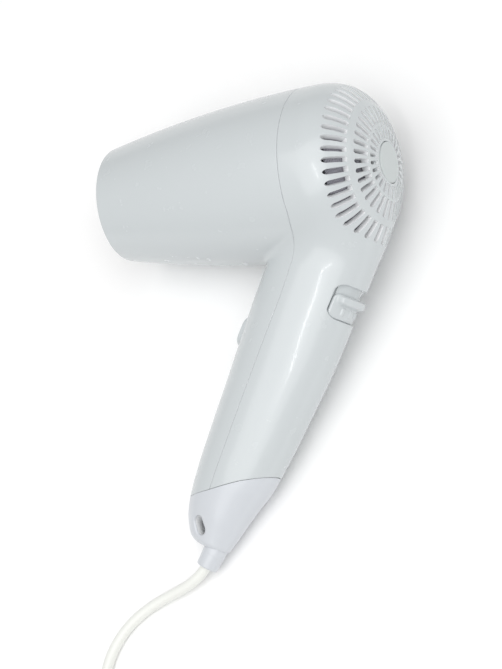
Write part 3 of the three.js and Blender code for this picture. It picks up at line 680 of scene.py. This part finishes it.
def add_lead():
    coil = coil_path()
    line = np.concatenate([smooth_path(LEAD_ROUTE, 3), coil, smooth_path(TAIL_ROUTE, 3)])
    line = round_off(line, 6)
    curve_data = bpy.data.curves.new("mains_lead", "CURVE")
    curve_data.dimensions = "3D"
    curve_data.bevel_depth = CORD_D / 2
    curve_data.bevel_resolution = 6
    curve_data.use_fill_caps = True
    spline = curve_data.splines.new("POLY")
    spline.points.add(len(line) - 1)
    for point, (x, y, z) in zip(spline.points, line * MM):
        point.co = (x, y, z, 1)
    spline.use_smooth = True
    curve_data.materials.append(CREAM)
    lead = bpy.data.objects.new("mains_lead", curve_data)
    bpy.context.scene.collection.objects.link(lead)
    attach(lead, "housing")
    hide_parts("cord_lead", "cord_coil", "cord_end")
    length = float(np.linalg.norm(np.diff(line, axis=0), axis=1).sum())
    return lead, length


# ---------------------------------------------------------------- where the mouldings part
def side_of(p, line):
    """Signed distance in the side view to a line of points: positive on its right-hand side."""
    x, y = p[..., 0], p[..., 1]
    best = np.full(x.shape, np.inf)
    value = np.zeros(x.shape)
    for (ax, ay), (bx, by) in zip(line[:-1], line[1:]):
        dx, dy = bx - ax, by - ay
        t = np.clip(((x - ax) * dx + (y - ay) * dy) / (dx * dx + dy * dy), 0, 1)
        far = np.hypot(x - ax - t * dx, y - ay - t * dy)
        turn = dy * (x - ax) - dx * (y - ay)
        closer = far < best
        value = np.where(closer, np.where(turn >= 0, far, -far), value)
        best = np.minimum(best, far)
    return value


def shell_seam():
    top, bottom = from_handle(SEAM_OFFSET, 54, 0), from_handle(SEAM_OFFSET, 64, 0)
    knots = [(SEAM_X, 10), (SEAM_X, -20), (SEAM_X - 0.1, -29), (SEAM_X - 1.7, -36), (SEAM_X - 4.0, -43.5),
             ((top[0] + SEAM_X - 6) / 2, (top[1] - 46.5) / 2 - 0.4), (bottom[0], bottom[1])]
    line = smooth_path([(x, y, 0) for x, y in knots], 1.5)[:, :2]
    end = from_handle(SEAM_OFFSET, 230, 0)
    return np.concatenate([[(SEAM_X, 80)], line, [end[:2]]])


SHELL_SEAM = shell_seam()


def rear_of_seam(p):
    return -side_of(p, SHELL_SEAM)


def above_cap(p):
    return -side_of(p, CAP_SEAM)


def box_field(u, v, half_u, half_v, corner):
    """Signed distance to a rounded rectangle, negative inside."""
    du, dv = np.abs(u) - half_u + corner, np.abs(v) - half_v + corner
    outside = np.hypot(np.maximum(du, 0), np.maximum(dv, 0))
    return outside + np.minimum(np.maximum(du, dv), 0) - corner


def slots(p):
    """Signed distance to the nearest slot of the rear grille, negative inside."""
    r, a = np.hypot(p[..., 1], p[..., 2]), np.arctan2(p[..., 2], p[..., 1])
    nearest = np.full(r.shape, 99.0)
    for outer, inner, width, count in SLOT_RINGS:
        pitch = 2 * math.pi / count
        turn = a - np.round(a / pitch) * pitch
        across, along = r * np.sin(turn), r * np.cos(turn)
        middle, reach = (inner + outer - width / 2) / 2, (outer - width / 2 - inner) / 2
        bar = box_field(along - middle, across, reach, width / 2, 0.3)
        tip = np.hypot(along - outer + width / 2, across) - width / 2
        nearest = np.minimum(nearest, np.minimum(bar, tip))
    return np.where(p[..., 0] > BULGE_X, nearest, 99.0)


def window(p):
    """Signed distance to the thumb switch's window, seen from behind the handle."""
    n, s, z = to_handle(p)
    middle, half = (RECESS["top"] + RECESS["bottom"]) / 2, (RECESS["bottom"] - RECESS["top"]) / 2
    return np.where(n > 22, box_field(s - middle, z, half, RECESS["half"], RECESS["corner"]), 99.0)


def capsule_field(u, v, length, width):
    reach = (length - width) / 2
    return np.hypot(np.maximum(np.abs(u) - reach, 0), v) - width / 2


def button_hole(p):
    n, s, z = to_handle(p)
    hole = capsule_field(s - BUTTON["along"], z, BUTTON["length"] + 0.7, BUTTON["width"] + 0.7)
    return np.where(n < 16, hole, 99.0)


EYE_X, EYE_Y = from_handle(EYE["offset"], EYE["along"], 0)[:2]


def eye(p):
    x, y = p[..., 0] - EYE_X, p[..., 1] - EYE_Y
    c, s = math.cos(EYE["tilt"]), math.sin(EYE["tilt"])
    return capsule_field(c * y - s * x, c * x + s * y, 2 * (EYE["reach"] + EYE["radius"]), 2 * EYE["radius"])


def relief_frame():
    """Start and direction of the strain relief, in the dryer's side view."""
    along = LEAN + RELIEF["lean"]
    way = np.array([-math.sin(along), -math.cos(along), 0])
    return from_handle(RELIEF["offset"], RELIEF["start"], 0), way


def relief_bore(p):
    start, way = relief_frame()
    d = p - start
    return np.linalg.norm(d - (d @ way)[..., None] * way, axis=-1) - RELIEF["radius"] - 0.15


def badge_seat(p):
    return np.where(p[..., 0] > BULGE_X, np.hypot(p[..., 1], p[..., 2]) - BADGE_R - 0.3, 99.0)


def wall_depth(p):
    """Shell thickness: deeper round the grille's slots, thinner in the slim end."""
    dome = smooth_step(p[:, 0], 12, 20) * (np.hypot(p[:, 1], p[:, 2]) < BULGE_R + 1)
    s = to_handle(p)[1]
    return (WALL + GRILLE_EXTRA * dome) * np.clip((230 - s) / 60, 0.6, 1)


# ---------------------------------------------------------------- the three mouldings
def refined_base():
    """The left half of the form, with finer triangles where the mouldings' edges run."""
    verts, tris = surface_nets(form, (-117.3, -205.3, -4.5), (45.0, 48.0, 49.5), 1.5)
    verts = even_out(form, settle(form, verts), tris, 4)
    verts, tris = trim(verts, tris, lambda p: p[..., 2], form)
    for reach, fine in ((2.6, 1.6), (1.2, 0.0)):
        r = np.hypot(verts[:, 1], verts[:, 2])
        near = np.abs(slots(verts)) < reach
        near |= (verts[:, 0] > BULGE_X) & (np.abs(r - BADGE_R - 0.6) < reach)
        for field in (window, button_hole, eye, relief_bore):
            near |= np.abs(field(verts)) < reach
        if fine:
            for field in (rear_of_seam, above_cap):
                near |= np.abs(field(verts)) < fine
            near |= verts[:, 0] < MOUTH_X + 3.5
            near |= to_handle(verts)[1] > 182
        verts, tris = refine(verts, tris, near, form)
    return verts, tris


def add_shells():
    base = refined_base()
    half = SEAM_GAP / 2
    front = [(lambda p: -rear_of_seam(p) - half, EDGE), (lambda p: above_cap(p) - half, EDGE),
             (lambda p: p[..., 0] - MOUTH_X, 1.1), (button_hole, 0.5)]
    rear = [(lambda p: rear_of_seam(p) - half, EDGE), (lambda p: above_cap(p) - half, EDGE),
            (window, 0.7), (slots, SLOT_EDGE), (badge_seat, 0.35)]
    cap = [(lambda p: -above_cap(p) - half, EDGE), (eye, EYE["lip"]), (relief_bore, 0.3)]
    parts = (("front_moulding", "front_shell", front, None, WHITE),
             ("rear_moulding", "rear_shell", rear, None, WHITE),
             ("cap_moulding", "end_cap", cap, lambda p: eye(p) < 2.5, CAP_WHITE))
    for name, node, cuts, tunnel, material in parts:
        verts, tris, split, inside = moulding(form, cuts, base, wall_depth, tunnel)
        piece = make_object(name, verts, tris, material, split)
        # walls and inner skin take the brightened copy of the white plastic, which is painted light
        piece.data.materials.append(PAINTED_LIGHT_INNER_WHITE)
        piece.data.polygons.foreach_set("material_index", inside.astype(int).tolist())
        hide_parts(node)


# ---------------------------------------------------------------- turned and lofted pieces
def loft(rings, closed_ends=True, loop=False):
    """Quads between rings of points; the ends are closed by fans round a middle point."""
    rings = [np.asarray(ring, float) for ring in rings]
    size = len(rings[0])
    verts = list(np.concatenate(rings))
    faces = []
    count = len(rings)
    for k in range(count if loop else count - 1):
        a, b = k * size, ((k + 1) % count) * size
        for i in range(size):
            j = (i + 1) % size
            faces.append((a + i, a + j, b + j, b + i))
    if closed_ends and not loop:
        for base, flip in ((0, True), ((count - 1) * size, False)):
            middle = len(verts)
            verts.append(np.mean(verts[base:base + size], 0))
            for i in range(size):
                j = (i + 1) % size
                faces.append((base + j, base + i, middle) if flip else (base + i, base + j, middle))
    return np.array(verts), faces


def turned(profile, start, way, sides=64, closed=False):
    """Profile of (distance, radius) round the line from start along way; a closed profile makes a ring."""
    way = np.asarray(way, float)
    side = np.cross(way, (0, 0, 1) if abs(way[2]) < 0.9 else (1, 0, 0))
    side /= np.linalg.norm(side)
    other = np.cross(way, side)
    a = np.arange(sides) * 2 * math.pi / sides
    around = np.cos(a)[:, None] * side + np.sin(a)[:, None] * other
    rings = [np.asarray(start) + way * t + around * r for t, r in profile]
    return loft(rings, closed_ends=not closed, loop=closed)


def rounded(points, radius):
    """Corners of an open profile rounded by short arcs."""
    p = [np.array(q, float) for q in points]
    out = [p[0]]
    for before, corner, after in zip(p[:-2], p[1:-1], p[2:]):
        a, b = before - corner, after - corner
        reach = min(radius, 0.45 * np.linalg.norm(a), 0.45 * np.linalg.norm(b))
        a, b = corner + a / np.linalg.norm(a) * reach, corner + b / np.linalg.norm(b) * reach
        for t in np.linspace(0, 1, 5):
            out.append((1 - t) ** 2 * a + 2 * t * (1 - t) * corner + t * t * b)
    return out + [p[-1]]


def clean_up(piece, angle=35):
    """Makes the faces point outwards and keeps only sharp edges sharp."""
    mesh = bmesh.new()
    mesh.from_mesh(piece.data)
    bmesh.ops.recalc_face_normals(mesh, faces=mesh.faces)
    for edge in mesh.edges:
        edge.smooth = len(edge.link_faces) < 2 or edge.calc_face_angle(0) < math.radians(angle)
    mesh.to_mesh(piece.data)
    mesh.free()
    return piece


def add_badge():
    back = BULGE_X + DOME_DEPTH
    profile = rounded([(back - 1.4, 0.1), (back - 1.4, BADGE_R), (back - 0.02, BADGE_R),
                       (back - 0.06, 0.1)], 0.35)
    verts, faces = turned(profile, (0, 0, 0), (1, 0, 0), 96)
    badge = clean_up(make_object("badge_disc", verts, faces, BADGE_GREY))
    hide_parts("grille_badge")
    seat = rounded([(back - 2.2, 0.1), (back - 2.2, BADGE_R + 2.2), (back - 3.4, BADGE_R + 2.6),
                    (back - 3.4, 0.1)], 0.3)
    verts, faces = turned(seat, (0, 0, 0), (1, 0, 0), 64)
    clean_up(make_object("badge_backing", verts, faces, WHITE))


def dome_x(r, inset):
    fall = (r / (BULGE_R - inset)) ** DOME_POWER
    return BULGE_X + (DOME_DEPTH - inset) * (1 - fall) ** (1 / DOME_POWER)


def add_filter():
    radii = np.linspace(5, 37.4, 26)
    outer = [(dome_x(r, 5.6), r) for r in radii]
    inner = [(dome_x(r, 6.2), r) for r in radii * 0.99][::-1]
    verts, faces = turned(outer + inner, (0, 0, 0), (1, 0, 0), 96, closed=True)
    screen = clean_up(make_object("lint_screen", verts, faces, SCREEN))
    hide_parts("lint_filter")


def add_relief():
    start, way = relief_frame()
    length = RELIEF["end"] - RELIEF["start"]
    r = RELIEF["radius"]
    bore = CORD_D / MM / 2 + 0.25
    profile = rounded([(4, bore), (4, r), (length - 8, r), (length - 7.4, r - 0.12), (length, r - 0.45),
                       (length, bore), (4, bore)], 0.7)
    verts, faces = turned(profile[:-1], start, way, 64, closed=True)
    relief = clean_up(make_object("relief_sleeve", verts, faces, CAP_WHITE), 50)
    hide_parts("strain_relief")
    return relief


# ---------------------------------------------------------------- thumb switch and button
def back_surface(s, z, height):
    """Point on the handle's back at a height over the moulded surface."""
    c, a, b = (curve(np.asarray(s, float), HANDLE[:, 0], HANDLE[:, j]) for j in (1, 2, 3))
    n = c + a * np.sqrt(np.maximum(1 - (z / b) ** 2, 0.02))
    normal = np.stack([(n - c) / a ** 2, z / b ** 2], -1)
    normal /= np.linalg.norm(normal, axis=-1, keepdims=True)
    return from_handle(n + normal[..., 0] * height, s, z + normal[..., 1] * height)


def slab(face, under):
    """A closed slab between two grids of points."""
    rows, columns = face.shape[:2]
    verts = np.concatenate([face.reshape(-1, 3), under.reshape(-1, 3)])
    index = np.arange(rows * columns).reshape(rows, columns)
    quads = np.stack([index[:-1, :-1], index[1:, :-1], index[1:, 1:], index[:-1, 1:]], -1).reshape(-1, 4)
    loop = np.concatenate([index[0, :], index[1:, -1], index[-1, -2::-1], index[-2:0:-1, 0]])
    after = np.roll(loop, -1)
    size = rows * columns
    walls = np.stack([loop, after, after + size, loop + size], -1)
    return verts, np.concatenate([quads, quads[:, ::-1] + size, walls])


def add_knob():
    bottom = RECESS["bottom"] - SLIDE["gap"]
    top = bottom - SLIDE["length"]
    middle = (top + bottom) / 2
    half, edge_r = SLIDE["half"], SLIDE["edge"]

    def outline(s, z):
        return box_field(s - middle, z, (bottom - top) / 2, half, SLIDE["corner"])

    s, z = np.meshgrid(np.linspace(top, bottom, 61), np.linspace(-half, half, 111), indexing="ij")
    # points outside the rounded outline are drawn onto it
    for _ in range(3):
        over = np.maximum(outline(s, z), 0)
        slope_s = (outline(s + 0.01, z) - outline(s - 0.01, z)) / 0.02
        slope_z = (outline(s, z + 0.01) - outline(s, z - 0.01)) / 0.02
        s, z = s - over * slope_s, z - over * slope_z
    edge = -outline(s, z)
    round_edge = edge_r * np.sqrt(np.clip(1 - (1 - np.clip(edge / edge_r, 0, 1)) ** 2, 0, 1)) - edge_r
    bar = -box_field(s - 54.6, z, 2.6, 11.6, 1.8)
    ridge = 3.0 * smooth_step(bar, -0.8, 1.3)
    ribs = 0.0
    for offset in (-7.5, -2.5, 2.5, 7.5):
        ribs = ribs + 0.55 * smooth_step(-box_field(s - 60.4, z - offset, 1.9, 0.8, 0.7), -0.45, 0.35)
    face = back_surface(s, z, -SLIDE["sunk"] + round_edge + ridge + ribs)
    verts, faces = slab(face, back_surface(s, z, -SLIDE["under"]))
    knob = clean_up(make_object("thumb_slide", verts, faces, WHITE, body="slider"), 60)
    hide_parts("slide_knob")
    # a thin apron over the switch's slot, which runs under the housing above and below the window
    rows = np.linspace(top - APRON["past"], bottom + APRON["past"], 26)
    s, z = np.meshgrid(rows, np.linspace(-APRON["half"], APRON["half"], 41), indexing="ij")
    verts, faces = slab(back_surface(s, z, -APRON["top"]), back_surface(s, z, -APRON["under"]))
    apron = clean_up(make_object("slide_apron", verts, faces, WHITE, body="slider"), 60)


def add_button():
    """Domed capsule with a rounded edge, and its straight side running back into the handle."""
    width, length = BUTTON["width"] - 0.1, BUTTON["length"] - 0.1
    face = -5.7
    reach = (length - width) / 2
    a = np.arange(64) * 2 * math.pi / 64
    rings = []
    for inset, n in ((0, 2.2), (0, face + 1.5), (0.12, face + 0.9), (0.45, face + 0.45), (0.95, face + 0.2),
                     (1.8, face + 0.08), (3.2, face + 0.01), (4.6, face), (width / 2 - 0.15, face)):
        r = width / 2 - inset
        along = r * np.cos(a) + np.where(np.cos(a) >= 0, reach, -reach)
        rings.append(from_handle(n, BUTTON["along"] + along, r * np.sin(a)))
    verts, faces = loft(rings)
    button = clean_up(make_object("cool_button", verts, faces, WHITE, body="button"), 50)
    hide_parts("push_button")


# ---------------------------------------------------------------- plug and tie (row frame, mm)
PLUG = dict(x=22.0, y=-237.6, z=8.8, length=33.0, relief=17.0)
PIN = dict(radius=2.4, length=19.0, span=19.0)


def add_row_piece(name, verts, faces, material, angle=40):
    """A piece given in row-frame millimetres."""
    mesh = bpy.data.meshes.new(name)
    mesh.from_pydata((np.asarray(verts) * MM).tolist(), [], faces)
    mesh.polygons.foreach_set("use_smooth", [True] * len(mesh.polygons))
    mesh.materials.append(material)
    piece = bpy.data.objects.new(name, mesh)
    bpy.context.scene.collection.objects.link(piece)
    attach(piece, "housing")
    return clean_up(piece, angle)


def plug_section(x, half_y, half_z, power):
    """Ring of the plug at x: an ellipse at power 2, squarer above it."""
    count = 72
    a = np.arange(count) * 2 * math.pi / count
    c, s = np.cos(a), np.sin(a)
    y = half_y * np.sign(c) * np.abs(c) ** (2 / power)
    z = half_z * np.sign(s) * np.abs(s) ** (2 / power)
    return np.stack([np.full(count, x), PLUG["y"] + y, PLUG["z"] + z], -1)


def add_plug():
    x0 = PLUG["x"]
    rings = []
    # ribbed relief, then the flat body that widens towards the pins
    for back, r in ((15.6, 3.2), (15.6, 4.0), (15.2, 4.4)):
        rings.append(plug_section(x0 - back, r, r, 2))
    for k in range(5):
        x = x0 - 14.4 + 2.9 * k
        r = 4.5 + 0.36 * k
        for dx, dr in ((0, 0), (0.5, 0), (0.7, -0.8), (1.5, -0.8), (1.7, 0), (2.2, 0.05)):
            rings.append(plug_section(x + dx, r + dr, r + dr, 2))
    body = ((0.6, 8.6, 6.6, 2.6), (1.6, 9.8, 7.2, 2.9), (5, 10.2, 7.6, 3.2), (10, 10.9, 7.9, 3.5),
            (16, 12.6, 7.95, 3.8), (22, 15.0, 7.95, 4.2), (27, 16.4, 7.95, 4.6), (31.6, 16.9, 7.9, 5),
            (32.6, 16.7, 7.7, 5), (33, 16.1, 7.2, 5))
    for x, half_y, half_z, power in body:
        rings.append(plug_section(x0 + x, half_y, half_z, power))
    verts, faces = loft(rings)
    plug = add_row_piece("plug_moulding", verts, faces, CREAM)
    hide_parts("plug_body")
    pieces = [plug]
    for side, node in ((1, "plug_pin_left"), (-1, "plug_pin_right")):
        start = (x0 + PLUG["length"] - 1, PLUG["y"] + side * PIN["span"] / 2, PLUG["z"])
        end = PIN["length"] + 1.3
        r = PIN["radius"]
        profile = [(0, 0.1), (0, r), (end - 1.6, r), (end - 0.9, r * 0.9), (end - 0.3, r * 0.6),
                   (end, r * 0.2)]
        verts, faces = turned(profile, start, (1, 0, 0), 40)
        pin = add_row_piece("pin_" + ("left" if side > 0 else "right"), verts, faces, BRASS)
        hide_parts(node)
        sleeve = [(0, 0.1), (0, r + 0.02), (10, r + 0.02), (10.05, r - 0.2)]
        verts, faces = turned(sleeve, start, (1, 0, 0), 40)
        collar = add_row_piece("pin_sleeve_" + ("left" if side > 0 else "right"), verts, faces, BLACK)
        pieces += [pin, collar]
    return pieces


def add_tie():
    """Flat strap closed round the coil's section, with its rounded corners."""
    middle_x, middle_z = COIL_X + TURN_R[1], (LAYER_Z[0] + LAYER_Z[2]) / 2
    half_x, half_z, corner, thick, wide = 8.75, 8.45, 2.6, 0.5, 8.0
    line = []
    for cx, cz, start in ((1, 1, 0), (-1, 1, 90), (-1, -1, 180), (1, -1, 270)):
        for t in np.radians(np.linspace(start, start + 90, 9)):
            line.append((cx * (half_x - corner), cz * (half_z - corner), math.cos(t), math.sin(t)))
    section = ((0, -wide / 2), (thick * 0.6, -wide / 2), (thick, -wide / 2 + 0.5),
               (thick, wide / 2 - 0.5), (thick * 0.6, wide / 2), (0, wide / 2))
    rings = []
    for x, z, c, s in line:
        ring = []
        for out, y in section:
            r = corner + out
            ring.append((middle_x + x + r * c, COIL_Y + y, middle_z + z + r * s))
        rings.append(ring)
    verts, faces = loft(rings, loop=True)
    tie = add_row_piece("coil_strap", verts, faces, CREAM, 50)
    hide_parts("coil_tie")
    return tie


# ---------------------------------------------------------------- floor and light
def add_floor():
    mesh = bpy.data.meshes.new("floor")
    mesh.from_pydata([(-6, -6, 0), (6, -6, 0), (6, 6, 0), (-6, 6, 0)], [], [(0, 1, 2, 3)])
    material, nodes, links, shader = node_material("floor_paint")
    tone = noise(nodes, links, coordinates(nodes, links, 1), 14, 3)
    pale = ramp(nodes, links, tone, ((0.3, (0.985, 0.985, 0.985)), (0.7, (1, 1, 1))))
    links.new(pale, shader.inputs["Base Color"])
    shader.inputs["Roughness"].default_value = 0.95
    shader.inputs["Specular IOR Level"].default_value = 0.1
    mesh.materials.append(material)
    floor = bpy.data.objects.new("floor", mesh)
    bpy.context.scene.collection.objects.link(floor)


def add_light(name, place, target, size, power):
    data = bpy.data.lights.new(name, "AREA")
    data.shape = "RECTANGLE"
    data.size, data.size_y = size
    data.energy = power
    light = bpy.data.objects.new(name, data)
    bpy.context.scene.collection.objects.link(light)
    light.location = place
    light.rotation_euler = (Vector(target) - Vector(place)).to_track_quat("-Z", "Y").to_euler()


def add_lighting():
    world = bpy.data.worlds.new("studio")
    world.use_nodes = True
    background = world.node_tree.nodes["Background"]
    background.inputs["Color"].default_value = (1.0, 1.0, 1.0, 1)
    background.inputs["Strength"].default_value = 0.48
    bpy.context.scene.world = world
    add_light("overhead", (0.1, -0.4, 1.6), (0, 0, 0.03), (2.0, 2.0), 22)
    add_light("side", (1.4, 0.5, 0.7), (0, 0, 0.03), (0.5, 1.2), 2)
    add_light("strip", (0.24, -0.42, 1.25), (0, -0.02, 0.05), (0.05, 0.5), 1.2)
    bpy.context.scene.view_settings.view_transform = "Standard"


add_camera()
lead, lead_length = add_lead()
add_shells()
add_badge()
add_filter()
relief = add_relief()
add_knob()
add_button()
plug_pieces = add_plug()
tie = add_tie()
finish_nodes()
add_floor()
add_lighting()
